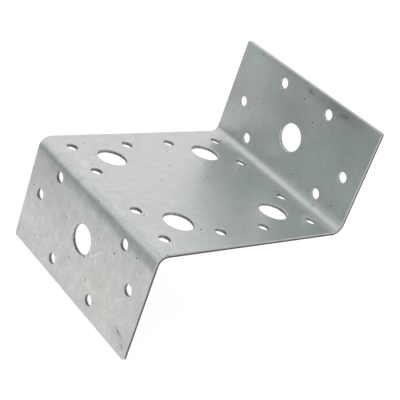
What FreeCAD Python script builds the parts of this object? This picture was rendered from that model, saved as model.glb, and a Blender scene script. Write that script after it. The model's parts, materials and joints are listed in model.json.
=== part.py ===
"""Z-shaped bracket: one galvanised steel sheet, punched flat and folded twice.

The web lies level in the middle. The front flange hangs down from its -X end and the back
flange stands up from its +X end, so the bracket comes back to itself after half a turn about
the Y axis. The origin is the middle of the web, halfway through the sheet.

Rows are counted from the middle of the sheet: along X on the web, along Z on the flanges.
A gauge is the distance between the two holes of a row, along Y.
"""
import FreeCAD, Part
import math
import os

import Sketcher

NODE = "z_bracket"

# Millimetres: name, size, what it measures
SIZES = [
    ("width", 90.0, "bracket along the folds"),
    ("web_span", 100.0, "middle of one flange's sheet to the middle of the other's"),
    ("flange_height", 50.0, "web's outer face to a flange's free edge"),
    ("sheet_thickness", 1.5, "steel with its zinc"),
    ("bend_radius", 3.5, "inside of both folds"),
    ("corner_radius", 1.0, "free corners of the flanges"),
    ("edge_rollover", 0.3, "edge that the press draws in on the side its tools enter"),
    ("nail_rollover", 0.1, "the same at a nail hole, where a small punch draws in less"),
    ("bolt_hole", 13.0, "diameter of a bolt hole"),
    ("nail_hole", 5.0, "diameter of a nail or screw hole"),
    ("side_margin", 10.0, "bracket's side to the nail holes nearest it"),
    ("middle_gauge", 50.0, "across the web's bolt holes and the nail holes beside a fold"),
    ("narrow_gauge", 30.0, "across the nail holes nearest the middle"),
    ("web_inner_row", 12.0, "middle of the web to its first nail holes"),
    ("row_pitch", 14.5, "row of nail holes to the next row, which holds the bolts"),
    ("web_fold_margin", 4.75, "end of a fold to the web's last nail holes"),
    ("flange_fold_margin", 3.5, "end of a fold to a flange's first nail holes"),
    ("free_edge_margin", 7.25, "flange's free edge to its last nail holes"),
]

# Rows and gauges as sums of sizes, each size with its factor
WEB_INNER_ROW = ((1, "web_inner_row"),)
WEB_BOLT_ROW = WEB_INNER_ROW + ((1, "row_pitch"),)
FOLD_END_ON_WEB = ((0.5, "web_span"), (-0.5, "sheet_thickness"), (-1, "bend_radius"))
WEB_OUTER_ROW = FOLD_END_ON_WEB + ((-1, "web_fold_margin"),)
FOLD_END_ON_FLANGE = ((0.5, "sheet_thickness"), (1, "bend_radius"))
FLANGE_NEAR_ROW = FOLD_END_ON_FLANGE + ((1, "flange_fold_margin"),)
FLANGE_MIDDLE_ROW = FLANGE_NEAR_ROW + ((1, "row_pitch"),)
FREE_EDGE = ((1, "flange_height"), (-0.5, "sheet_thickness"))
FLANGE_FAR_ROW = FREE_EDGE + ((-1, "free_edge_margin"),)
WIDE_GAUGE = ((1, "width"), (-2, "side_margin"))
MIDDLE_GAUGE = ((1, "middle_gauge"),)
NARROW_GAUGE = ((1, "narrow_gauge"),)

# How a sketch counts the places on an element, and its own axes
WHOLE, START, END, CENTRE = range(4)
HORIZONTAL_AXIS, VERTICAL_AXIS = range(-1, -3, -1)
ORIGIN_POINT = (HORIZONTAL_AXIS, START)
TOLERANCE = 1e-4


def make_sheet(doc):
    """Spreadsheet that drives every size of the bracket."""
    sheet = doc.addObject("Spreadsheet::Sheet", "Sizes")
    for row, (alias, size, meaning) in enumerate(SIZES, start=1):
        sheet.set(f"A{row}", alias)
        sheet.set(f"B{row}", str(size))
        sheet.set(f"C{row}", meaning)
        sheet.setAlias(f"B{row}", alias)
    doc.recompute()
    return sheet


def size_of(sheet, terms):
    """What a sum of sizes comes to now."""
    return sum(factor * getattr(sheet, alias) for factor, alias in terms)


def formula_of(terms):
    """The same sum as an expression on the spreadsheet."""
    return " + ".join(f"{factor} * Sizes.{alias}" for factor, alias in terms)


def origin_feature(body, role):
    """Plane or axis of the body's own origin."""
    return next(item for item in body.Origin.OriginFeatures if item.Role == role)


def new_sketch(body, name, plane):
    sketch = body.newObject("Sketcher::SketchObject", name)
    sketch.AttachmentSupport = [(origin_feature(body, plane), "")]
    sketch.MapMode = "FlatFace"
    return sketch


def drive(sketch, name, constraint, expression):
    """Add a named dimension to the sketch and bind it to the spreadsheet."""
    index = sketch.addConstraint(constraint)
    sketch.renameConstraint(index, name)
    sketch.setExpression(f"Constraints.{name}", expression)


def line(start, end):
    return Part.LineSegment(FreeCAD.Vector(*start, 0), FreeCAD.Vector(*end, 0))


def quarter_arc(centre, radius, first_degrees):
    """Quarter turn of a fold, counter-clockwise from first_degrees."""
    circle = Part.Circle(FreeCAD.Vector(*centre, 0), FreeCAD.Vector(0, 0, 1), radius)
    first = math.radians(first_degrees)
    return Part.ArcOfCircle(circle, first, first + math.pi / 2)


def draw_section(body, sheet):
    """Outline of the folded sheet in the XZ plane, held by dimensions and tangent folds."""
    half_sheet = sheet.sheet_thickness / 2
    inner = sheet.bend_radius
    outer = inner + sheet.sheet_thickness
    fold_x = size_of(sheet, FOLD_END_ON_WEB)
    fold_z = size_of(sheet, FOLD_END_ON_FLANGE)
    near_x = sheet.web_span / 2 - half_sheet
    far_x = sheet.web_span / 2 + half_sheet
    edge_z = size_of(sheet, FREE_EDGE)

    outline = {
        "web_top": line((-fold_x, half_sheet), (fold_x, half_sheet)),
        "back_fold_inside": quarter_arc((fold_x, fold_z), inner, -90),
        "back_front_face": line((near_x, fold_z), (near_x, edge_z)),
        "back_edge": line((near_x, edge_z), (far_x, edge_z)),
        "back_rear_face": line((far_x, edge_z), (far_x, fold_z)),
        "back_fold_outside": quarter_arc((fold_x, fold_z), outer, -90),
        "web_underside": line((fold_x, -half_sheet), (-fold_x, -half_sheet)),
        "front_fold_inside": quarter_arc((-fold_x, -fold_z), inner, 90),
        "front_rear_face": line((-near_x, -fold_z), (-near_x, -edge_z)),
        "front_edge": line((-near_x, -edge_z), (-far_x, -edge_z)),
        "front_front_face": line((-far_x, -edge_z), (-far_x, -fold_z)),
        "front_fold_outside": quarter_arc((-fold_x, -fold_z), outer, 90),
    }
    sketch = new_sketch(body, "FoldedSection", "XZ_Plane")
    index = {name: sketch.addGeometry(shape, False) for name, shape in outline.items()}

    def join(kind, first, first_end, second, second_end):
        ends = (index[first], first_end, index[second], second_end)
        sketch.addConstraint(Sketcher.Constraint(kind, *ends))

    for name in ("web_top", "web_underside", "back_edge", "front_edge"):
        sketch.addConstraint(Sketcher.Constraint("Horizontal", index[name]))
    for name in ("back_front_face", "back_rear_face", "front_rear_face", "front_front_face"):
        sketch.addConstraint(Sketcher.Constraint("Vertical", index[name]))

    join("Tangent", "web_top", END, "back_fold_inside", START)
    join("Tangent", "back_fold_inside", END, "back_front_face", START)
    join("Coincident", "back_front_face", END, "back_edge", START)
    join("Coincident", "back_edge", END, "back_rear_face", START)
    join("Tangent", "back_rear_face", END, "back_fold_outside", END)
    join("Tangent", "back_fold_outside", START, "web_underside", START)
    join("Tangent", "web_underside", END, "front_fold_inside", START)
    join("Tangent", "front_fold_inside", END, "front_rear_face", START)
    join("Coincident", "front_rear_face", END, "front_edge", START)
    join("Coincident", "front_edge", END, "front_front_face", START)
    join("Tangent", "front_front_face", END, "front_fold_outside", END)
    join("Tangent", "front_fold_outside", START, "web_top", START)

    # Both arcs of a fold share a centre, and the two folds mirror each other through the origin
    join("Coincident", "back_fold_inside", CENTRE, "back_fold_outside", CENTRE)
    join("Coincident", "front_fold_inside", CENTRE, "front_fold_outside", CENTRE)
    folds = (index["back_fold_inside"], CENTRE, index["front_fold_inside"], CENTRE)
    sketch.addConstraint(Sketcher.Constraint("Symmetric", *folds, *ORIGIN_POINT))
    folds_alike = ("back_fold_inside", "front_fold_inside")
    flanges_alike = ("back_front_face", "front_rear_face")
    for first, second in (folds_alike, flanges_alike):
        sketch.addConstraint(Sketcher.Constraint("Equal", index[first], index[second]))

    radius = Sketcher.Constraint("Radius", index["back_fold_inside"], inner)
    drive(sketch, "inside_radius", radius, "Sizes.bend_radius")
    edge = index["back_edge"]
    thickness = Sketcher.Constraint("DistanceX", edge, START, edge, END, sheet.sheet_thickness)
    drive(sketch, "thickness", thickness, "Sizes.sheet_thickness")
    faces = (index["front_front_face"], START, index["back_front_face"], START)
    drive(sketch, "span", Sketcher.Constraint("DistanceX", *faces, sheet.web_span), "Sizes.web_span")
    reach = (index["web_underside"], START, edge, START)
    height = Sketcher.Constraint("DistanceY", *reach, sheet.flange_height)
    drive(sketch, "height", height, "Sizes.flange_height")
    return sketch


class HoleField:
    """Sketch of the holes that one press stroke makes in one flat part of the sheet.

    Rows are counted along row_axis towards its negative end, so a hole stands below or before
    the origin. Pairs stand either side of that axis.
    """

    def __init__(self, body, sheet, name, plane, row_axis):
        self.sheet = sheet
        self.sketch = new_sketch(body, name, plane)
        self.rows_run_along_x = row_axis == "X"
        self.middle_line = HORIZONTAL_AXIS if self.rows_run_along_x else VERTICAL_AXIS
        self.row_distance = "DistanceX" if self.rows_run_along_x else "DistanceY"
        self.gauge_distance = "DistanceY" if self.rows_run_along_x else "DistanceX"

    def _circle(self, tag, diameter, row, offset):
        """Circle at a row and an offset from the middle line, with its size and row bound."""
        row_size = size_of(self.sheet, row)
        place = (-row_size, offset) if self.rows_run_along_x else (offset, -row_size)
        width = getattr(self.sheet, diameter)
        circle = Part.Circle(FreeCAD.Vector(*place, 0), FreeCAD.Vector(0, 0, 1), width / 2)
        hole = self.sketch.addGeometry(circle, False)
        size = Sketcher.Constraint("Diameter", hole, width)
        drive(self.sketch, f"{tag}_size", size, f"Sizes.{diameter}")
        to_origin = Sketcher.Constraint(self.row_distance, hole, CENTRE, *ORIGIN_POINT, row_size)
        drive(self.sketch, f"{tag}_row", to_origin, formula_of(row))
        return hole

    def single(self, tag, diameter, row):
        """Hole on the middle line."""
        hole = self._circle(tag, diameter, row, 0.0)
        on_line = Sketcher.Constraint("PointOnObject", hole, CENTRE, self.middle_line)
        self.sketch.addConstraint(on_line)

    def pair(self, tag, diameter, row, gauge):
        """Two like holes in one row, the gauge apart and even about the middle line."""
        spread = size_of(self.sheet, gauge)
        first = self._circle(tag, diameter, row, -spread / 2)
        partner = Part.Circle(self.sketch.Geometry[first])
        across = (0, spread, 0) if self.rows_run_along_x else (spread, 0, 0)
        partner.Center = partner.Center + FreeCAD.Vector(*across)
        second = self.sketch.addGeometry(partner, False)
        self.sketch.addConstraint(Sketcher.Constraint("Equal", first, second))
        centres = (first, CENTRE, second, CENTRE)
        self.sketch.addConstraint(Sketcher.Constraint("Symmetric", *centres, self.middle_line))
        apart = Sketcher.Constraint(self.gauge_distance, *centres, spread)
        drive(self.sketch, f"{tag}_gauge", apart, formula_of(gauge))


def punch(doc, body, field, name):
    """Cut a field of holes both ways from its sketch, and see that it took metal away."""
    before = body.Shape.Volume
    pocket = body.newObject("PartDesign::Pocket", name)
    pocket.Profile = field.sketch
    pocket.Type = "ThroughAll"
    pocket.SideType = "Symmetric"
    body.Tip = pocket
    doc.recompute()
    if not body.Shape.Volume < before - TOLERANCE:
        raise RuntimeError(f"{name} cut nothing")
    return pocket


def web_holes(body, sheet):
    """Front half of the web: two bolt holes with three pairs of nail holes round them."""
    field = HoleField(body, sheet, "WebHoles", "XY_Plane", "X")
    field.pair("inner_nails", "nail_hole", WEB_INNER_ROW, WIDE_GAUGE)
    field.pair("bolts", "bolt_hole", WEB_BOLT_ROW, MIDDLE_GAUGE)
    field.pair("outer_nails_wide", "nail_hole", WEB_OUTER_ROW, WIDE_GAUGE)
    field.pair("outer_nails_narrow", "nail_hole", WEB_OUTER_ROW, NARROW_GAUGE)
    return field


def flange_holes(body, sheet):
    """Front flange: one bolt hole ringed by three pairs of nail holes."""
    field = HoleField(body, sheet, "FlangeHoles", "YZ_Plane", "Y")
    field.single("bolt", "bolt_hole", FLANGE_MIDDLE_ROW)
    field.pair("near_nails", "nail_hole", FLANGE_NEAR_ROW, MIDDLE_GAUGE)
    field.pair("middle_nails", "nail_hole", FLANGE_MIDDLE_ROW, WIDE_GAUGE)
    field.pair("far_nails", "nail_hole", FLANGE_FAR_ROW, NARROW_GAUGE)
    return field


def half_turn(doc, body, features):
    """Repeat the front half's holes in the back half, turned about the Y axis."""
    before = body.Shape.Volume
    pattern = body.newObject("PartDesign::PolarPattern", "BackHalfHoles")
    pattern.Originals = features
    pattern.Axis = (origin_feature(body, "Y_Axis"), [""])
    pattern.Angle = 360
    pattern.Occurrences = 2
    body.Tip = pattern
    doc.recompute()
    if not body.Shape.Volume < before - TOLERANCE:
        raise RuntimeError("the back half has no holes")


def break_edges(doc, body, name, kind, edge_numbers, expression):
    """Fillet or chamfer the numbered edges by a size from the spreadsheet."""
    base = body.Tip
    feature = body.newObject(f"PartDesign::{kind}", name)
    feature.Base = (base, [f"Edge{number}" for number in edge_numbers])
    feature.setExpression("Radius" if kind == "Fillet" else "Size", expression)
    body.Tip = feature
    doc.recompute()


def free_corner_edges(shape, sheet):
    """Short edges through the sheet at the four free corners of the flanges."""
    edge_z = size_of(sheet, FREE_EDGE)
    found = []
    for number, edge in enumerate(shape.Edges, start=1):
        start, end = edge.firstVertex().Point, edge.lastVertex().Point
        through_sheet = abs((end - start).Length - abs(end.x - start.x)) < TOLERANCE
        at_free_edge = abs(abs(start.z) - edge_z) < TOLERANCE
        if through_sheet and at_free_edge:
            found.append(number)
    return found


def is_punch_side(face, sheet):
    """True for the face that the punch entered: web top, both folds' upper faces, flange fronts."""
    low_u, high_u, low_v, high_v = face.ParameterRange
    normal = face.normalAt((low_u + high_u) / 2, (low_v + high_v) / 2)
    surface = face.Surface
    if isinstance(surface, Part.Cylinder):
        follows_fold = abs(surface.Axis.y) > 1 - TOLERANCE
        return follows_fold and normal.z - normal.x > 0
    on_web_top = abs(face.CenterOfMass.z - sheet.sheet_thickness / 2) < TOLERANCE
    return normal.x < TOLERANCE - 1 or (on_web_top and normal.z > 1 - TOLERANCE)


def punch_side_edges(shape, sheet):
    """Edges that bound the punch side: those of its outline, and the rims of both kinds of hole."""
    sides = [face for face in shape.Faces if is_punch_side(face, sheet)]
    side_edges = [edge for face in sides for edge in face.Edges]
    groups = {"outline": [], "bolt_rims": [], "nail_rims": []}
    for number, edge in enumerate(shape.Edges, start=1):
        if sum(edge.isSame(other) for other in side_edges) != 1:
            continue
        if not edge.isClosed():
            groups["outline"].append(number)
        elif abs(2 * edge.Curve.Radius - sheet.nail_hole) < TOLERANCE:
            groups["nail_rims"].append(number)
        else:
            groups["bolt_rims"].append(number)
    return groups


def build_bracket(doc, sheet):
    body = doc.addObject("PartDesign::Body", "Bracket")
    body.Label = NODE

    section = draw_section(body, sheet)
    folded = body.newObject("PartDesign::Pad", "FoldedSheet")
    folded.Profile = section
    folded.SideType = "Symmetric"
    folded.setExpression("Length", "Sizes.width")
    doc.recompute()

    in_web = punch(doc, body, web_holes(body, sheet), "PunchedWeb")
    in_flange = punch(doc, body, flange_holes(body, sheet), "PunchedFlange")
    half_turn(doc, body, [in_web, in_flange])

    corners = free_corner_edges(body.Shape, sheet)
    break_edges(doc, body, "FreeCorners", "Fillet", corners, "Sizes.corner_radius")
    # Each step renumbers the edges, so they are found afresh
    for name, kind, group, size in (
            ("RolledOutline", "Fillet", "outline", "edge_rollover"),
            ("BoltHoleRims", "Chamfer", "bolt_rims", "edge_rollover"),
            ("NailHoleRims", "Chamfer", "nail_rims", "nail_rollover")):
        edges = punch_side_edges(body.Shape, sheet)[group]
        break_edges(doc, body, name, kind, edges, f"Sizes.{size}")
    return body


def check_document(doc, body):
    """Stop before anything is written if a feature failed or the solid is not sound."""
    failed = [item.Name for item in doc.Objects if {"Invalid", "Error"} & set(item.State)]
    if failed:
        raise RuntimeError(f"failed features: {failed}")
    shape = body.Shape
    if shape.isNull() or not shape.isValid() or len(shape.Solids) != 1:
        raise RuntimeError("the bracket is not one valid solid")


def main():
    doc = FreeCAD.newDocument("ZBracket")
    sheet = make_sheet(doc)
    body = build_bracket(doc, sheet)
    doc.recompute()
    check_document(doc, body)
    os.makedirs("parts", exist_ok=True)
    body.Shape.exportStep(os.path.join("parts", f"{body.Label}.step"))
    box = body.Shape.optimalBoundingBox()
    print(f"{body.Label}: {box.XLength:.2f} x {box.YLength:.2f} x {box.ZLength:.2f} mm,",
          f"{body.Shape.Volume:.1f} mm3, {len(body.Shape.Faces)} faces")


main()
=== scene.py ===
"""Z-shaped bracket: the finish of its galvanised steel sheet, and a plain bright studio round it."""
import json
import math
from collections import namedtuple

import bmesh
import bpy
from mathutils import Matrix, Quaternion, Vector


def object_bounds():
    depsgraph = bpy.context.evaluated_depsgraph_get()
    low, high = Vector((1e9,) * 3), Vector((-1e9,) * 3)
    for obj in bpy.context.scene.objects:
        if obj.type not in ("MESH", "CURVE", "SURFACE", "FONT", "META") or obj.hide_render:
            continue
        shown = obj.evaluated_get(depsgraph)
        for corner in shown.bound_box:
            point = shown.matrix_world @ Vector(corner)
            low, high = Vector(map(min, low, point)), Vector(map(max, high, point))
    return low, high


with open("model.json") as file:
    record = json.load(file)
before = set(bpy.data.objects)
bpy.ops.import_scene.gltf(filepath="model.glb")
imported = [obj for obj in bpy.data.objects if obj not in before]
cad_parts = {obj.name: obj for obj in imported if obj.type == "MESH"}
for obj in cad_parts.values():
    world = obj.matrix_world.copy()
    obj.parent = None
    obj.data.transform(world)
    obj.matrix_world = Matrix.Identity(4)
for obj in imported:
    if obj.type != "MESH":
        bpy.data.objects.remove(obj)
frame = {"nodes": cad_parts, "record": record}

bl_info = {
    "name": "Z-shaped bracket",
    "version": (1, 0, 0),
    "blender": (4, 5, 0),
    "location": "View3D > Sidebar > Bracket",
    "description": "Galvanises the bracket's folded sheet and sets it in a plain studio",
    "category": "Object",
}

NODE = "z_bracket"
MM = 0.001
CAD_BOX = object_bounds()
FACES = {mount["name"]: Vector(mount["pos_m"]) for mount in frame["record"]["mounts"]}

# The sheet's own measures in millimetres, from the CAD box and the faces that the record states
HALF_SHEET = FACES["web_top"].z / MM
FLANGE_MIDDLE = (FACES["upper_flange_front"].x + FACES["upper_flange_back"].x) / 2 / MM
FRONT_FACE = FACES["lower_flange_front"].x / MM
BACK_FACE = FACES["upper_flange_front"].x / MM
NEAR_SIDE = CAD_BOX[0].y / MM
FAR_SIDE = CAD_BOX[1].y / MM
FREE_EDGE = CAD_BOX[1].z / MM

# Marks on the side that the punch entered: the place along and across the sheet, half the length
# and width in millimetres, the turn in degrees from the rolling direction, and the strength
Mark = namedtuple("Mark", "along across length width turn strength")
RUBS = (
    Mark(FRONT_FACE - 41.0, -38.0, 4.6, 1.5, 70, 0.7),
    Mark(FRONT_FACE - 44.5, -42.0, 2.2, 1.2, 40, 0.7),
    Mark(FRONT_FACE - 43.0, -39.0, 11.0, 5.0, 75, 0.22),
    Mark(FRONT_FACE - 45.0, 43.5, 2.6, 0.8, 15, 0.6),
    Mark(FRONT_FACE - 12.4, -7.7, 2.4, 0.6, 12, 0.55),
    Mark(FRONT_FACE - 20.1, 13.6, 1.5, 0.6, 70, 0.7),
    Mark(FRONT_FACE - 42.6, 0.0, 1.6, 0.4, 35, 0.8),
    Mark(FRONT_FACE - 35.7, -9.6, 0.9, 0.5, 10, 1.0),
    Mark(BACK_FACE + 46.4, -1.6, 3.6, 1.6, 80, 1.0),
    Mark(BACK_FACE + 45.8, -23.6, 4.8, 1.9, 100, 1.0),
    Mark(BACK_FACE + 46.5, -19.0, 24.0, 4.5, 91, 0.42),
    Mark(BACK_FACE + 33.0, 9.0, 20.0, 10.0, 90, 0.2),
    Mark(BACK_FACE + 8.2, -35.8, 1.3, 0.5, 130, 1.0),
)
OIL = Mark(FRONT_FACE - 34.0, -21.0, 14.0, 16.0, 0, 0.7)
BLOOM = Mark(BACK_FACE + 48.0, 42.0, 24.0, 28.0, 0, 0.95)

# Where a mark begins and where it is full, in halves of its size from its middle. To that way a
# stain adds the mottle, which is a half on average
RUB_BEGINS, RUB_FULL = 1.0, 0.2
STAIN_BEGINS, STAIN_FULL = 1.5, 0.6

# Share of a rub that is left in the mottle's hollows, and the mottle from which all of it shows
HOLLOW_RUB = 0.35
RUB_CREST = 0.6

# Place along and across the sheet with the most hair scratches, the millimetres from it where they
# begin to grow and are strongest, their strength before and after, and their turns in degrees
SCRATCHED = (FRONT_FACE - 28.0, -17.0, 0.0)
SCRATCHED_BEGINS, SCRATCHED_FULL = 26.0, 8.67
FAINT_SCRATCH, STRONG_SCRATCH = 0.05, 0.5
SCRATCH_TURNS = (20, 65, 140)

# Share of a random pattern's cells that stay empty, and how much of its cell a scratch can fill
NO_SCRATCH = 0.72
NO_PIT = 0.7
SCRATCH_FILL = 0.44

# Depth of pits and scratches, in heights of the mottle
PIT_DEPTH, SCRATCH_DEPTH = 1.5, 0.6

# Most of a noise pattern lies between these values
NOISE_LOW, NOISE_HIGH = 0.3, 0.7

# Factor on the coat's light and dark, on the front flange and this many millimetres past its face
HANDLED, SPARED = 1.1, 0.6
HANDLED_REACH = 20.0

# The underside takes its patterns from this far along the sheet, in millimetres
UNDERSIDE_SHIFT = 500.0

# Where the lean beside a fold starts, is largest and ends, in radii of the fold from its middle
FLANGE_LEAN_START, WEB_LEAN_START = 0.65, 0.4
LEAN_PEAK = 1.05
FLANGE_LEAN_END, WEB_LEAN_END = 2.0, 2.7

# Millimetres from the bracket's middle line where the web's lean starts to grow and is largest
LEAN_MIDDLE, LEAN_SIDE = 8.0, 40.0

# How squarely a face lies in the sheet where its coat ends and where the bare wall of a cut starts
COAT_ENDS, CUT_STARTS = 0.6, 0.3

# Millimetres from the bracket's sides that hold no hole
SIDE_STRIP = 2.0

# Torn share of the free edges, and the millimetres from them where it starts to grow and is full
SLIT_TORN = 0.2
SLIT_WALL, SLIT_ENDS = 0.4, 1.2

# Share of a hole's torn wall under smeared zinc, in the web and lower flange and in the back flange,
# and the grain between which its specks change that share by this swing. The low share in the web
# and lower flange leaves their hole walls darker, as painted shade from under the web
PAINTED_SHADE_SMEAR, BACK_SMEAR = 0.4, 0.9
SPECK_LOW, SPECK_HIGH = 0.35, 0.65
SPECK_SWING = 0.6

# Soft panels: where each hangs, and its width and height, in metres
BACK_PANEL = ((0.10, 1.20, 0.75), (3.4, 0.9))
TOP_PANEL = ((0.10, 0.20, 1.20), (1.4, 1.4))


def linear(hex_colour):
    """Linear RGBA of an sRGB colour written as #RRGGBB."""
    channels = [int(hex_colour[i:i + 2], 16) / 255 for i in (1, 3, 5)]
    rgb = [c / 12.92 if c <= 0.04045 else ((c + 0.055) / 1.055) ** 2.4 for c in channels]
    return (*rgb, 1.0)


def add_node(tree, kind, feeds, **settings):
    """Add a shader node, set it up, and feed its inputs, named or counted, with links or values."""
    node = tree.nodes.new("ShaderNode" + kind)
    for name, value in settings.items():
        setattr(node, name, value)
    sockets = [socket for socket in node.inputs if socket.enabled]
    for key, feed in feeds.items():
        socket = sockets[key] if isinstance(key, int) else next(s for s in sockets if s.name == key)
        if isinstance(feed, bpy.types.Node):
            feed = next(out for out in feed.outputs if out.enabled)
        if isinstance(feed, bpy.types.NodeSocket):
            tree.links.new(feed, socket)
        else:
            socket.default_value = feed
    return node


def colour_property(name, description, hex_colour):
    """Colour to choose, with its default written as #RRGGBB."""
    return bpy.props.FloatVectorProperty(
        name=name, description=description, subtype="COLOR", size=4, min=0.0, max=1.0,
        default=linear(hex_colour))


def length_property(name, description, metres):
    """Length to choose, with its default in metres."""
    return bpy.props.FloatProperty(
        name=name, description=description, subtype="DISTANCE", unit="LENGTH", min=0.0,
        default=metres)


def angle_property(name, description, degrees):
    """Angle to choose, with its default in degrees."""
    return bpy.props.FloatProperty(
        name=name, description=description, subtype="ANGLE", unit="ROTATION",
        default=math.radians(degrees))


def share_property(name, description, share):
    """Share to choose, from none at 0 to all at 1."""
    return bpy.props.FloatProperty(
        name=name, description=description, subtype="FACTOR", min=0.0, max=1.0, default=share)


def brightness_property(name, description, radiance):
    """Brightness to choose, where 1 is white in the picture."""
    return bpy.props.FloatProperty(name=name, description=description, min=0.0, default=radiance)


class SheetFinish(bpy.types.PropertyGroup):
    """Colours and marks of the galvanised sheet."""

    zinc: colour_property("Zinc", "Clean zinc coat of the rolled sheet", "#BDC4C4")
    bloomed_zinc: colour_property("Bloomed zinc", "Coat gone pale and dull with damp", "#D6E2E1")
    oiled_zinc: colour_property("Oiled zinc", "Coat under the last of the press oil", "#BFC3BA")
    rubbed_zinc: colour_property("Rubbed zinc", "Coat rubbed dark by tools and parts", "#6E7573")
    scratched_zinc: colour_property("Scratched zinc", "Bright zinc in a hair scratch", "#DEDFDC")
    pit: colour_property("Pit", "Pin-hole in the coat", "#5A5D5C")
    burnished_steel: colour_property("Burnished steel", "Part of a cut rubbed smooth", "#AEB8B7")
    # The torn steel is partly the real dark of a fracture and partly painted shade on the walls of
    # cuts
    torn_steel_and_shade: colour_property("Torn steel", "Part of a cut where the sheet broke off", "#5A5856")

    roughness: share_property("Roughness", "Roughness of the clean coat", 0.36)
    cloud_roughness: share_property("Cloud roughness", "Change of roughness in the clouds", 0.04)
    rub_roughness: share_property("Rub roughness", "Added where the coat is rubbed", 0.12)
    pit_roughness: share_property("Pit roughness", "Added in a pit", 0.25)
    cut_roughness: share_property("Cut roughness", "Added on the wall of a cut", 0.15)

    streak_swing: share_property("Streak swing", "Change of tone in the streaks", 0.04)
    cloud_swing: share_property("Cloud swing", "Change of tone in the clouds", 0.06)
    mottle_swing: share_property("Mottle swing", "Change of tone in the mottle", 0.075)
    grain_swing: share_property("Grain swing", "Change of tone from crystal to crystal", 0.06)

    streak_width: length_property("Streak width", "Rolling streaks, across the sheet", 1.8 * MM)
    streak_length: length_property("Streak length", "Rolling streaks, along the sheet", 36 * MM)
    cloud_size: length_property("Cloud size", "Soft light and dark patches of the coat", 26 * MM)
    mottle_size: length_property("Mottle size", "Small patches inside the clouds", 5 * MM)
    grain_size: length_property("Grain size", "Zinc crystals, rolled nearly flat", 1.2 * MM)
    raggedness: length_property("Raggedness", "How far a mark's outline wanders", 1.2 * MM)
    pit_spacing: length_property("Pit spacing", "Between places that may hold a pit", 6.5 * MM)
    pit_radius: length_property("Pit radius", "Largest pit", 0.4 * MM)
    scratch_length: length_property("Scratch length", "Longest hair scratch", 10.65 * MM)
    scratch_width: length_property("Scratch width", "Widest hair scratch", 0.66 * MM)
    relief: length_property("Relief", "Height of the mottle's bumps", 0.04 * MM)

    fold_radius: length_property("Fold radius", "Inside radius of both folds", 3.5 * MM)
    middle_bow: angle_property("Middle bow", "Lean of the web's middle beside a fold", 12.8)
    side_bow: angle_property("Side bow", "Lean of the web's sides beside a fold", 21.9)
    near_bow: angle_property("Near bow", "Lean of a flange's -Y end beside its fold", 14)
    far_bow: angle_property("Far bow", "Lean of a flange's +Y end beside its fold", 3.5)

    break_height: length_property("Break height", "Middle of the sheet to its break", 0.42 * MM)
    break_fade: length_property("Break fade", "Ragged band where the break starts", 0.16 * MM)
    break_wander: length_property("Break wander", "How far down the break wanders", 0.5 * MM)
    hole_break: length_property("Hole break", "Extra height of the break in a hole", 0.32 * MM)


class StudioStage(bpy.types.PropertyGroup):
    """Light table, soft panels and camera."""

    lit_glass: colour_property("Lit glass", "Light of the table over its lamps", "#FDF4F4")
    dim_glass: colour_property("Dim glass", "Light of the table past its lamps", "#757A7A")
    unlit_glass: colour_property("Unlit glass", "The table's own grey", "#6C6C6C")
    table_reach: length_property("Table reach", "Middle of the table to its edge", 4.0)
    lit_reach: length_property("Lit reach", "Bracket to where the lamps end", 70 * MM)
    lit_fade: length_property("Lit fade", "Width of the fade where the lamps end", 170 * MM)
    lit_turn: angle_property("Lit turn", "From -X to the way of the fade, clockwise", 27.3)
    room: colour_property("Room", "Pale walls of the studio", "#EAECEC")
    room_light: brightness_property("Room light", "Brightness of the walls", 1.0)
    lamps: colour_property("Lamps", "Warm white of the soft panels", "#FFDFDD")
    back_panel: brightness_property("Back panel", "Brightness of the wide panel behind", 0.41)
    top_panel: brightness_property("Top panel", "Brightness of the panel overhead", 0.33)
    azimuth: angle_property("Azimuth", "Camera's place round the bracket, 0 looks to +Y", -46.794)
    elevation: angle_property("Elevation", "Camera's height above the level", 26.187)
    roll: angle_property("Roll", "Camera turned about its own line of sight", 19.961)
    distance: length_property("Distance", "Camera to the point it aims at", 421.22 * MM)
    aim: bpy.props.FloatVectorProperty(
        name="Aim", description="Point in the middle of the picture", subtype="XYZ", unit="LENGTH",
        default=(1.963 * MM, -5.136 * MM, -4.241 * MM))
    lens: bpy.props.FloatProperty(
        name="Lens", description="Focal length on a 36 mm sensor", subtype="DISTANCE_CAMERA",
        min=1.0, default=88.105)


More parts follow.
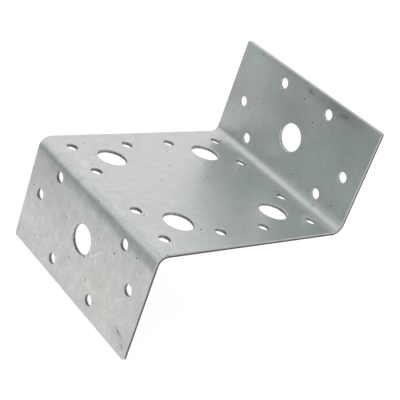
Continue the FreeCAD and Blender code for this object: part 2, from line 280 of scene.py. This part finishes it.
def sheet_positions(tree, fold_radius):
    """Sockets that follow the folded sheet, in millimetres.

    flat lies in the sheet, which goes on from flange to web to flange, and its two sides lie
    apart so that they don't share marks. depth runs through the sheet, from minus half on the
    side that the punch left to plus half on the side that it entered. from_fold is the way to
    the middle of the nearer fold, plus on the web, where on_web is 1, and minus on a flange, and
    side_radius is the radius of that fold on this side of the sheet. x, y and z are the place
    itself.
    """
    place = add_node(tree, "TexCoord", {}).outputs["Object"]
    place = add_node(tree, "VectorMath", {0: place, "Scale": 1 / MM}, operation="SCALE")
    x, y, z = add_node(tree, "SeparateXYZ", {0: place}).outputs

    # Half a turn about Y lays one half of the section on the other
    half = add_node(tree, "Math", {0: x}, operation="SIGN")
    reach = add_node(tree, "Math", {0: x}, operation="ABSOLUTE")
    rise = add_node(tree, "Math", {0: z, 1: half}, operation="MULTIPLY")
    middle_radius = fold_radius / MM + HALF_SHEET
    fold_start = FLANGE_MIDDLE - middle_radius
    past_web = add_node(tree, "Math", {0: reach, 1: fold_start}, operation="SUBTRACT")
    past_flange = add_node(tree, "Math", {0: middle_radius, 1: rise}, operation="SUBTRACT")
    corner = add_node(tree, "CombineXYZ", {"X": past_web, "Y": past_flange})
    corner = add_node(tree, "VectorMath", {0: corner, 1: (0.0, 0.0, 0.0)}, operation="MAXIMUM")
    radius = add_node(tree, "VectorMath", {0: corner}, operation="LENGTH").outputs["Value"]
    offset = add_node(tree, "Math", {0: middle_radius, 1: radius}, operation="SUBTRACT")
    depth = add_node(tree, "Math", {0: offset, 1: half}, operation="MULTIPLY")

    along = add_node(tree, "Math", {0: x, 1: z}, operation="ADD")
    spread = add_node(tree, "Math", {0: along}, operation="ABSOLUTE")
    from_fold = add_node(tree, "Math", {0: FLANGE_MIDDLE, 1: spread}, operation="SUBTRACT")
    on_web = add_node(tree, "Math", {0: from_fold, 1: 0.0}, operation="GREATER_THAN")
    underneath = add_node(tree, "Math", {0: depth, 1: 0.0}, operation="LESS_THAN")
    along = add_node(tree, "Math", {
        0: underneath, 1: UNDERSIDE_SHIFT, 2: along}, operation="MULTIPLY_ADD")
    flat = add_node(tree, "CombineXYZ", {"X": along, "Y": y})
    return {"flat": flat, "depth": depth, "from_fold": from_fold, "on_web": on_web,
            "side_radius": radius, "x": x, "y": y, "z": z}


def bowed_normal(tree, at, finish):
    """Normal of a sheet whose folds run out softly into the flats, by some tenths of a millimetre.

    The sheet leans most where the arc of a fold ends, and by less from there on both ways. Along
    the flanges the press left more of this lean at one end than at the other. The web leans more
    at its sides, where the holes beside the folds let it give.
    """
    way = add_node(tree, "Math", {0: at["from_fold"], 1: at["side_radius"]}, operation="DIVIDE")
    way = add_node(tree, "Math", {0: way}, operation="ABSOLUTE")
    start = add_node(tree, "Mix", {
        "Factor": at["on_web"], "A": FLANGE_LEAN_START, "B": WEB_LEAN_START})
    end = add_node(tree, "Mix", {
        "Factor": at["on_web"], "A": FLANGE_LEAN_END, "B": WEB_LEAN_END})
    rise = add_node(tree, "MapRange", {
        "Value": way, "From Min": start, "From Max": LEAN_PEAK, "To Min": 0.0, "To Max": 1.0},
        interpolation_type="SMOOTHSTEP")
    fall = add_node(tree, "MapRange", {
        "Value": way, "From Min": LEAN_PEAK, "From Max": end, "To Min": 1.0, "To Max": 0.0},
        interpolation_type="SMOOTHSTEP")
    share = add_node(tree, "Math", {0: rise, 1: fall}, operation="MULTIPLY")

    flange_lean = add_node(tree, "MapRange", {
        "Value": at["y"], "From Min": NEAR_SIDE, "From Max": FAR_SIDE,
        "To Min": -math.tan(finish.near_bow), "To Max": -math.tan(finish.far_bow)})
    aside = add_node(tree, "Math", {0: at["y"]}, operation="ABSOLUTE")
    web_lean = add_node(tree, "MapRange", {
        "Value": aside, "From Min": LEAN_MIDDLE, "From Max": LEAN_SIDE,
        "To Min": math.tan(finish.middle_bow), "To Max": math.tan(finish.side_bow)})
    lean = add_node(tree, "Mix", {"Factor": at["on_web"], "A": flange_lean, "B": web_lean})
    lean = add_node(tree, "Math", {0: lean, 1: share}, operation="MULTIPLY")

    straight = add_node(tree, "NewGeometry", {}).outputs["Normal"]
    across = add_node(tree, "VectorMath", {
        0: straight, 1: (0.0, 1.0, 0.0)}, operation="CROSS_PRODUCT")
    across = add_node(tree, "VectorMath", {0: across, "Scale": lean}, operation="SCALE")
    leaning = add_node(tree, "VectorMath", {0: straight, 1: across}, operation="ADD")
    return add_node(tree, "VectorMath", {0: leaning}, operation="NORMALIZE")


def coat_patterns(tree, flat, finish):
    """Noise patterns of the coat, from streaks along the rolling direction down to crystals.

    Real streaks and crystals are finer, and these are drawn coarse enough to show.
    """
    streak_scale = (MM / finish.streak_length, MM / finish.streak_width, 1.0)
    streak_place = add_node(tree, "Mapping", {"Vector": flat, "Scale": streak_scale})
    return {
        "streaks": add_node(tree, "TexNoise", {
            "Vector": streak_place, "Scale": 1.0, "Detail": 4.0}),
        "clouds": add_node(tree, "TexNoise", {
            "Vector": flat, "Scale": MM / finish.cloud_size, "Detail": 3.0, "Roughness": 0.55}),
        "mottle": add_node(tree, "TexNoise", {
            "Vector": flat, "Scale": MM / finish.mottle_size, "Detail": 3.0, "Roughness": 0.6}),
        "grain": add_node(tree, "TexNoise", {
            "Vector": flat, "Scale": MM / finish.grain_size, "Detail": 2.0}),
    }


def coat_tone(tree, at, patterns, finish):
    """Factor on the coat's colour, with more light and dark on the front flange, handled most."""
    swings = {"streaks": finish.streak_swing, "clouds": finish.cloud_swing,
              "mottle": finish.mottle_swing, "grain": finish.grain_swing}
    tone = 1.0
    for name, swing in swings.items():
        factor = add_node(tree, "MapRange", {
            "Value": patterns[name], "From Min": NOISE_LOW, "From Max": NOISE_HIGH,
            "To Min": 1 - swing, "To Max": 1 + swing})
        tone = add_node(tree, "Math", {0: factor, 1: tone}, operation="MULTIPLY")
    excess = add_node(tree, "Math", {0: tone, 1: 1.0}, operation="SUBTRACT")
    handled = add_node(tree, "MapRange", {
        "Value": at["x"], "From Min": FRONT_FACE, "From Max": FRONT_FACE + HANDLED_REACH,
        "To Min": HANDLED, "To Max": SPARED})
    return add_node(tree, "Math", {0: excess, 1: handled, 2: 1.0}, operation="MULTIPLY_ADD")


def way_out(tree, mark, ragged):
    """Way from the middle of a mark, in halves of its size."""
    place = add_node(tree, "Mapping", {
        "Vector": ragged, "Location": (mark.along, mark.across, 0.0),
        "Rotation": (0.0, 0.0, math.radians(mark.turn)), "Scale": (mark.length, mark.width, 1.0)},
        vector_type="TEXTURE")
    return add_node(tree, "VectorMath", {0: place}, operation="LENGTH").outputs["Value"]


def stain_share(tree, mark, ragged, mottle):
    """Share of a stain, which thins out in patches."""
    way = add_node(tree, "Math", {0: way_out(tree, mark, ragged), 1: mottle}, operation="ADD")
    return add_node(tree, "MapRange", {
        "Value": way, "From Min": STAIN_BEGINS, "From Max": STAIN_FULL,
        "To Min": 0.0, "To Max": mark.strength})


def rubbed_share(tree, ragged, mottle):
    """Share of all the rubbed places, broken up by the mottle, whose high spots rub first."""
    rubbed = 0.0
    for mark in RUBS:
        share = add_node(tree, "MapRange", {
            "Value": way_out(tree, mark, ragged), "From Min": RUB_BEGINS, "From Max": RUB_FULL,
            "To Min": 0.0, "To Max": mark.strength})
        rubbed = add_node(tree, "Math", {0: share, 1: rubbed}, operation="MAXIMUM")
    broken = add_node(tree, "MapRange", {
        "Value": mottle, "From Min": NOISE_LOW, "From Max": RUB_CREST,
        "To Min": HOLLOW_RUB, "To Max": 1.0})
    return add_node(tree, "Math", {0: rubbed, 1: broken}, operation="MULTIPLY")


def hair_scratches(tree, flat, ragged, finish):
    """Where the hair scratches are, and how much of each shows.

    They lie a few ways, each in a stretched cell of a random pattern. Real ones are finer, and
    these are drawn wide enough to show.
    """
    cell_length = finish.scratch_length / SCRATCH_FILL / MM
    cell_width = finish.scratch_width / SCRATCH_FILL / MM
    scratched = 0.0
    for turn in SCRATCH_TURNS:
        place = add_node(tree, "Mapping", {
            "Vector": ragged, "Rotation": (0.0, 0.0, math.radians(turn)),
            "Scale": (cell_length, cell_width, 1.0)}, vector_type="TEXTURE")
        cells = add_node(tree, "TexVoronoi", {
            "Vector": place, "Scale": 1.0}, voronoi_dimensions="2D")
        chance = add_node(tree, "SeparateColor", {"Color": cells.outputs["Color"]})
        size = add_node(tree, "MapRange", {
            "Value": chance.outputs["Red"], "From Min": NO_SCRATCH, "From Max": 1.0,
            "To Min": 0.0, "To Max": SCRATCH_FILL / 2})
        share = add_node(tree, "Math", {
            0: cells.outputs["Distance"], 1: size}, operation="LESS_THAN")
        scratched = add_node(tree, "Math", {0: share, 1: scratched}, operation="MAXIMUM")

    way = add_node(tree, "VectorMath", {
        0: flat, 1: SCRATCHED}, operation="DISTANCE").outputs["Value"]
    worn = add_node(tree, "MapRange", {
        "Value": way, "From Min": SCRATCHED_BEGINS, "From Max": SCRATCHED_FULL,
        "To Min": FAINT_SCRATCH, "To Max": STRONG_SCRATCH})
    shown = add_node(tree, "Math", {0: scratched, 1: worn}, operation="MULTIPLY")
    return scratched, shown


def pit_places(tree, ragged, finish):
    """Where the pits are: some cells of a random pattern hold one, each of its own size."""
    cells = add_node(tree, "TexVoronoi", {
        "Vector": ragged, "Scale": MM / finish.pit_spacing}, voronoi_dimensions="2D")
    chance = add_node(tree, "SeparateColor", {"Color": cells.outputs["Color"]})
    size = add_node(tree, "MapRange", {
        "Value": chance.outputs["Red"], "From Min": NO_PIT, "From Max": 1.0,
        "To Min": 0.0, "To Max": finish.pit_radius / finish.pit_spacing})
    return add_node(tree, "Math", {0: cells.outputs["Distance"], 1: size}, operation="LESS_THAN")


def cut_places(tree, on_web):
    """Where the cuts are: their walls stand square to the sheet."""
    facing = add_node(tree, "NewGeometry", {}).outputs["True Normal"]
    facing = add_node(tree, "SeparateXYZ", {0: facing})
    through = add_node(tree, "Mix", {
        "Factor": on_web, "A": facing.outputs["X"], "B": facing.outputs["Z"]})
    through = add_node(tree, "Math", {0: through}, operation="ABSOLUTE")
    return add_node(tree, "MapRange", {
        "Value": through, "From Min": COAT_ENDS, "From Max": CUT_STARTS,
        "To Min": 0.0, "To Max": 1.0})


def torn_and_shaded_share(tree, at, patterns, finish):
    """Share of a cut's wall that is torn: under the rim the punch rubs it smooth, then it breaks.

    Hole walls in the web and lower flange are drawn more torn, as painted shade.
    """
    height = add_node(tree, "Math", {
        0: patterns["mottle"], 1: finish.break_wander / MM, 2: at["depth"]},
        operation="MULTIPLY_ADD")

    # In a hole the sheet breaks nearer the rim than along the bracket's sides
    aside = add_node(tree, "Math", {0: at["y"]}, operation="ABSOLUTE")
    in_hole = add_node(tree, "Math", {0: aside, 1: FAR_SIDE - SIDE_STRIP}, operation="LESS_THAN")
    height = add_node(tree, "Math", {
        0: in_hole, 1: -finish.hole_break / MM, 2: height}, operation="MULTIPLY_ADD")
    torn = add_node(tree, "MapRange", {
        "Value": height, "From Min": finish.break_height / MM,
        "From Max": (finish.break_height - finish.break_fade) / MM, "To Min": 0.0, "To Max": 1.0})

    # The flanges' free edges are the strip's slit edges, rubbed smooth nearly right through
    from_web = add_node(tree, "Math", {0: at["z"]}, operation="ABSOLUTE")
    slit = add_node(tree, "MapRange", {
        "Value": from_web, "From Min": FREE_EDGE - SLIT_WALL, "From Max": FREE_EDGE - SLIT_ENDS,
        "To Min": SLIT_TORN, "To Max": 1.0})
    torn = add_node(tree, "Math", {0: torn, 1: slit}, operation="MULTIPLY")

    # Specks of zinc are smeared over a hole's torn wall: little in the web and lower flange, whose
    # hole walls stay darker as painted shade from under the web, and most past the back fold
    smear_and_painted_shade = add_node(tree, "MapRange", {
        "Value": at["z"], "From Min": HALF_SHEET, "From Max": HALF_SHEET + finish.fold_radius / MM,
        "To Min": PAINTED_SHADE_SMEAR, "To Max": BACK_SMEAR})
    speck = add_node(tree, "MapRange", {
        "Value": patterns["grain"], "From Min": SPECK_LOW, "From Max": SPECK_HIGH,
        "To Min": 1 - SPECK_SWING, "To Max": 1 + SPECK_SWING})
    smear_and_painted_shade = add_node(tree, "Math", {0: smear_and_painted_shade, 1: speck}, operation="MULTIPLY", use_clamp=True)
    smear_and_painted_shade = add_node(tree, "Math", {0: smear_and_painted_shade, 1: in_hole}, operation="MULTIPLY")
    bare = add_node(tree, "Math", {0: 1.0, 1: smear_and_painted_shade}, operation="SUBTRACT")
    return add_node(tree, "Math", {0: torn, 1: bare}, operation="MULTIPLY")


def galvanised_sheet(finish):
    """Hot-dip galvanised steel sheet, skin-passed, punched and folded.

    The eye sees a satin grey metal that mirrors its surroundings softly, with faint streaks along
    the rolling direction, cloudy patches, pin-holes and hair scratches, and bare steel at cuts.
    """
    material = bpy.data.materials.new("galvanised_steel_sheet")
    material.use_nodes = True
    tree = material.node_tree
    tree.nodes.clear()
    at = sheet_positions(tree, finish.fold_radius)
    patterns = coat_patterns(tree, at["flat"], finish)
    mottle = patterns["mottle"]

    # Marks have ragged outlines, so their places are shaken a little
    shake = add_node(tree, "VectorMath", {
        0: patterns["grain"].outputs["Color"], 1: (0.5, 0.5, 0.5)}, operation="SUBTRACT")
    wander = finish.raggedness / MM
    ragged = add_node(tree, "VectorMath", {
        0: shake, 1: (wander, wander, 0.0), 2: at["flat"]}, operation="MULTIPLY_ADD")

    # Oil film that dried on the front flange, and bloom on the back flange's far corner
    colour = finish.zinc
    for mark, stained_zinc in ((OIL, finish.oiled_zinc), (BLOOM, finish.bloomed_zinc)):
        share = stain_share(tree, mark, ragged, mottle)
        colour = add_node(tree, "Mix", {
            "Factor": share, "A": colour, "B": stained_zinc}, data_type="RGBA")
    tone = coat_tone(tree, at, patterns, finish)
    colour = add_node(tree, "VectorMath", {0: colour, "Scale": tone}, operation="SCALE")

    # Wear lies over the coat, and cuts go through it
    rubbed = rubbed_share(tree, ragged, mottle)
    scratched, scratch_shown = hair_scratches(tree, at["flat"], ragged, finish)
    pitted = pit_places(tree, ragged, finish)
    cut = cut_places(tree, at["on_web"])
    # The walls of cuts take painted shade from the dark torn steel, besides the real fracture
    cut_steel_and_shade = add_node(tree, "Mix", {
        "Factor": torn_and_shaded_share(tree, at, patterns, finish),
        "A": finish.burnished_steel, "B": finish.torn_steel_and_shade}, data_type="RGBA")
    layers = ((rubbed, finish.rubbed_zinc), (scratch_shown, finish.scratched_zinc),
              (pitted, finish.pit), (cut, cut_steel_and_shade))
    for share, layer in layers:
        colour = add_node(tree, "Mix", {
            "Factor": share, "A": colour, "B": layer}, data_type="RGBA")

    # Rubbed places, pits and cuts are duller than the coat
    roughness = add_node(tree, "MapRange", {
        "Value": patterns["clouds"], "From Min": NOISE_LOW, "From Max": NOISE_HIGH,
        "To Min": finish.roughness - finish.cloud_roughness,
        "To Max": finish.roughness + finish.cloud_roughness})
    duller = ((rubbed, finish.rub_roughness), (pitted, finish.pit_roughness),
              (cut, finish.cut_roughness))
    for share, extra in duller:
        roughness = add_node(tree, "Math", {
            0: share, 1: extra, 2: roughness}, operation="MULTIPLY_ADD")

    height = mottle
    for share, sunk in ((pitted, PIT_DEPTH), (scratched, SCRATCH_DEPTH)):
        height = add_node(tree, "Math", {0: share, 1: -sunk, 2: height}, operation="MULTIPLY_ADD")
    bump = add_node(tree, "Bump", {
        "Height": height, "Strength": 0.3, "Distance": finish.relief,
        "Normal": bowed_normal(tree, at, finish)})

    shader = add_node(tree, "BsdfPrincipled", {
        "Base Color": colour, "Metallic": 1.0, "Roughness": roughness, "Normal": bump})
    add_node(tree, "OutputMaterial", {"Surface": shader})
    return material


def opal_glass(stage):
    """Opal glass over lamps: an even white with hardly a shadow, which fades past the lamps.

    The fade lies left of the picture, where the standing flange mirrors it as a darker grey.
    """
    material = bpy.data.materials.new("opal_glass")
    material.use_nodes = True
    tree = material.node_tree
    tree.nodes.clear()
    place = add_node(tree, "TexCoord", {}).outputs["Object"]
    leftwards = (-math.cos(stage.lit_turn), math.sin(stage.lit_turn), 0.0)
    left = add_node(tree, "VectorMath", {
        0: place, 1: leftwards}, operation="DOT_PRODUCT").outputs["Value"]
    past_lamps = add_node(tree, "MapRange", {
        "Value": left, "From Min": stage.lit_reach, "From Max": stage.lit_reach + stage.lit_fade,
        "To Min": 0.0, "To Max": 1.0}, interpolation_type="SMOOTHSTEP")
    light = add_node(tree, "Mix", {
        "Factor": past_lamps, "A": stage.lit_glass, "B": stage.dim_glass}, data_type="RGBA")
    shader = add_node(tree, "BsdfPrincipled", {
        "Base Color": stage.unlit_glass, "Roughness": 0.9, "Specular IOR Level": 0.0,
        "Emission Color": light, "Emission Strength": 1.0})
    add_node(tree, "OutputMaterial", {"Surface": shader})
    return material


def soft_panel(name, place, size, colour, brightness):
    """Area light that faces the bracket, as bright as the given radiance all over."""
    light = bpy.data.lights.new(name, "AREA")
    light.shape = "RECTANGLE"
    light.size, light.size_y = size
    light.color = colour[:3]
    light.energy = brightness * math.pi * light.size * light.size_y
    panel = bpy.data.objects.new(name, light)
    panel.location = place
    panel.rotation_euler = (-Vector(place)).to_track_quat("-Z", "Y").to_euler()
    bpy.context.scene.collection.objects.link(panel)


class ZBRACKET_OT_finish_sheet(bpy.types.Operator):
    """Give the folded sheet its galvanised finish"""

    bl_idname = "zbracket.finish_sheet"
    bl_label = "Finish the sheet"

    def execute(self, context):
        sheet = frame["nodes"][NODE]
        sheet.material_slots[0].material = galvanised_sheet(context.scene.zbracket_sheet)
        return {"FINISHED"}


class ZBRACKET_OT_build_stage(bpy.types.Operator):
    """Lay the light table, hang the panels and place the camera"""

    bl_idname = "zbracket.build_stage"
    bl_label = "Build the stage"

    def execute(self, context):
        stage = context.scene.zbracket_stage
        self.lay_table(context.scene, stage)
        self.set_light(context.scene, stage)
        self.place_camera(context.scene, stage)
        return {"FINISHED"}

    def lay_table(self, scene, stage):
        """Level glass under the lower flange's free edge."""
        mesh = bpy.data.meshes.new("light_table")
        top = bmesh.new()
        bmesh.ops.create_grid(top, x_segments=1, y_segments=1, size=stage.table_reach)
        bmesh.ops.translate(top, verts=top.verts, vec=(0, 0, CAD_BOX[0].z))
        top.to_mesh(mesh)
        top.free()
        mesh.materials.append(opal_glass(stage))
        table = bpy.data.objects.new("light_table", mesh)
        scene.collection.objects.link(table)

    def set_light(self, scene, stage):
        """Pale room all round, and two soft panels."""
        world = bpy.data.worlds.new("studio_room")
        world.use_nodes = True
        tree = world.node_tree
        tree.nodes.clear()
        room = add_node(tree, "Background", {"Color": stage.room, "Strength": stage.room_light})
        add_node(tree, "OutputWorld", {"Surface": room})
        scene.world = world
        scene.view_settings.view_transform = "Standard"
        soft_panel("back_panel", *BACK_PANEL, stage.lamps, stage.back_panel)
        soft_panel("top_panel", *TOP_PANEL, stage.lamps, stage.top_panel)

    def place_camera(self, scene, stage):
        """Camera at the photograph's angle, turned about its own line of sight."""
        camera = bpy.data.cameras.new("camera")
        camera.sensor_width = 36.0
        camera.lens = stage.lens
        camera.clip_start = 0.01
        rig = bpy.data.objects.new("camera", camera)
        level = math.cos(stage.elevation)
        back = Vector((math.sin(stage.azimuth) * level, -math.cos(stage.azimuth) * level,
                       math.sin(stage.elevation)))
        roll = Quaternion((0, 0, 1), stage.roll)
        rig.rotation_mode = "QUATERNION"
        rig.rotation_quaternion = (-back).to_track_quat("-Z", "Y") @ roll
        rig.location = Vector(stage.aim) + back * stage.distance
        scene.collection.objects.link(rig)
        scene.camera = rig


class ZBRACKET_PT_panel(bpy.types.Panel):
    """Sizes, colours and steps of the bracket's scene"""

    bl_label = "Z-shaped bracket"
    bl_space_type = "VIEW_3D"
    bl_region_type = "UI"
    bl_category = "Bracket"

    def draw(self, context):
        steps = ((ZBRACKET_OT_finish_sheet, context.scene.zbracket_sheet),
                 (ZBRACKET_OT_build_stage, context.scene.zbracket_stage))
        for operator, settings in steps:
            box = self.layout.box()
            for name in settings.__annotations__:
                box.prop(settings, name)
            box.operator(operator.bl_idname)


CLASSES = (
    SheetFinish,
    StudioStage,
    ZBRACKET_OT_finish_sheet,
    ZBRACKET_OT_build_stage,
    ZBRACKET_PT_panel,
)


def register():
    for cls in CLASSES:
        bpy.utils.register_class(cls)
    bpy.types.Scene.zbracket_sheet = bpy.props.PointerProperty(type=SheetFinish)
    bpy.types.Scene.zbracket_stage = bpy.props.PointerProperty(type=StudioStage)


def unregister():
    del bpy.types.Scene.zbracket_stage
    del bpy.types.Scene.zbracket_sheet
    for cls in reversed(CLASSES):
        bpy.utils.unregister_class(cls)


def main():
    register()
    bpy.ops.zbracket.finish_sheet()
    bpy.ops.zbracket.build_stage()


if __name__ == "__main__":
    main()
